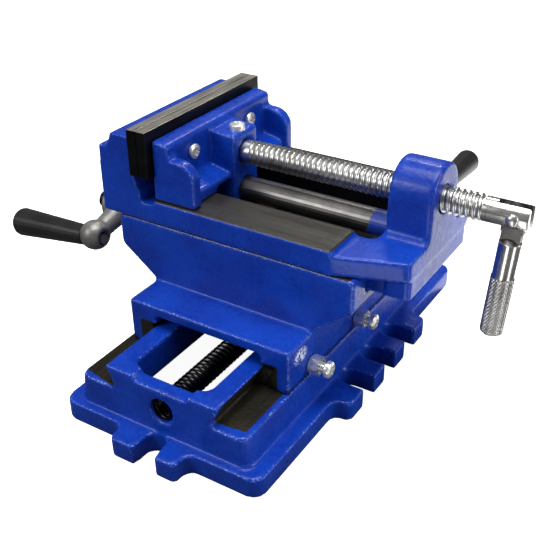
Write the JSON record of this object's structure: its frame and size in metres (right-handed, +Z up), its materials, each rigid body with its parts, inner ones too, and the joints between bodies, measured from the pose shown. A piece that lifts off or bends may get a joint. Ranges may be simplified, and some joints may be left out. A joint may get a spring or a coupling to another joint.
{
  "type": "cross slide vise",
  "caption": "Drill press vise on two crossed dovetail slides, each moved by a lead screw with a crank; a third screw with a swing handle closes the jaw.",
  "frame": {"origin": "on the table under the middle of the base casting's body, in line with the base lead screw", "axes": "+Z up, +X along the jaw screw towards its swing handle, +Y along the base towards its crank, away from the slotted ears"},
  "size_m": [0.2979, 0.3366, 0.1342],
  "materials": {
    "blue_enamel": "gloss enamel over a sand casting, worn at edges",
    "grey_casting": "satin, machined casting",
    "black_steel": "black oxide, oiled",
    "dark_steel": "ground and oiled",
    "gib_steel": "ground strip",
    "black_grip": "satin",
    "bright_steel": "bright zinc or turned steel"
  },
  "bodies": {
    "base": {"base_casting": "blue_enamel"},
    "base_screw": {"base_lead_screw": "black_steel", "base_thrust_collar": "dark_steel", "base_crank": "grey_casting", "base_crank_pin": "bright_steel", "base_grip_axle": "bright_steel"},
    "base_grip": {"base_grip": "black_grip"},
    "saddle": {"saddle_casting": "blue_enamel", "base_nut": "grey_casting", "lower_gib": "gib_steel", "upper_gib": "gib_steel", "lower_gib_1_screw": "bright_steel", "lower_gib_1_locknut": "bright_steel", "lower_gib_2_screw": "bright_steel", "lower_gib_2_locknut": "bright_steel", "lower_gib_3_screw": "bright_steel", "lower_gib_3_locknut": "bright_steel", "upper_gib_1_screw": "bright_steel", "upper_gib_1_locknut": "bright_steel", "upper_gib_2_screw": "bright_steel", "upper_gib_2_locknut": "bright_steel", "upper_gib_3_screw": "bright_steel", "upper_gib_3_locknut": "bright_steel"},
    "cross_screw": {"cross_lead_screw": "black_steel", "cross_thrust_collar": "dark_steel", "cross_crank": "grey_casting", "cross_crank_pin": "bright_steel", "cross_grip_axle": "bright_steel"},
    "cross_grip": {"cross_grip": "black_grip"},
    "vise_body": {"vise_body": "blue_enamel", "cross_nut": "grey_casting", "guide_rod": "dark_steel", "fixed_jaw_plate": "black_steel", "fixed_plate_screw_1": "bright_steel", "fixed_plate_screw_2": "bright_steel"},
    "moving_jaw": {"moving_jaw": "blue_enamel", "nose_retaining_screw": "bright_steel", "moving_jaw_plate": "black_steel", "moving_plate_screw_1": "bright_steel", "moving_plate_screw_2": "bright_steel"},
    "jaw_screw": {"jaw_screw": "bright_steel", "handle_pin": "bright_steel"},
    "jaw_handle": {"swing_handle": "bright_steel"}
  },
  "joints": [
    {"name": "base_screw_spin", "type": "hinge", "parent": "base", "child": "base_screw", "pos_m": [0, 0, 0.0246], "axis": [0, 1, 0], "range_deg": [-3610, 3610]},
    {"name": "base_grip_spin", "type": "hinge", "parent": "base_screw", "child": "base_grip", "pos_m": [0.02614, 0.152, 0.03827], "axis": [0, 1, 0], "continuous": true},
    {"name": "saddle_slide", "type": "slide", "parent": "base", "child": "saddle", "axis": [0, 1, 0], "range_m": [-0.04, 0.04]},
    {"name": "cross_screw_spin", "type": "hinge", "parent": "saddle", "child": "cross_screw", "pos_m": [0, 0, 0.06], "axis": [1, 0, 0], "range_deg": [-3610, 820]},
    {"name": "cross_grip_spin", "type": "hinge", "parent": "cross_screw", "child": "cross_grip", "pos_m": [-0.1057, -0.02874, 0.05186], "axis": [0.9956, 0, 0.0941], "continuous": true},
    {"name": "vise_slide", "type": "slide", "parent": "saddle", "child": "vise_body", "axis": [1, 0, 0], "range_m": [-0.009, 0.04]},
    {"name": "jaw_slide", "type": "slide", "parent": "vise_body", "child": "moving_jaw", "axis": [1, 0, 0], "range_m": [0, 0.085]},
    {"name": "jaw_screw_spin", "type": "hinge", "parent": "moving_jaw", "child": "jaw_screw", "pos_m": [0, 0, 0.1126], "axis": [1, 0, 0], "range_deg": [-5, 7655]},
    {"name": "handle_swing", "type": "hinge", "parent": "jaw_screw", "child": "jaw_handle", "pos_m": [0.1228, 0, 0.1126], "axis": [0, 1, 0], "range_deg": [-188, 8]}
  ],
  "couplings": [
    {"joint": "base_screw_spin", "follows": "saddle_slide", "rad_per_m": -1570.8},
    {"joint": "cross_screw_spin", "follows": "vise_slide", "rad_per_m": -1570.8},
    {"joint": "jaw_screw_spin", "follows": "jaw_slide", "rad_per_m": 1570.8}
  ]
}
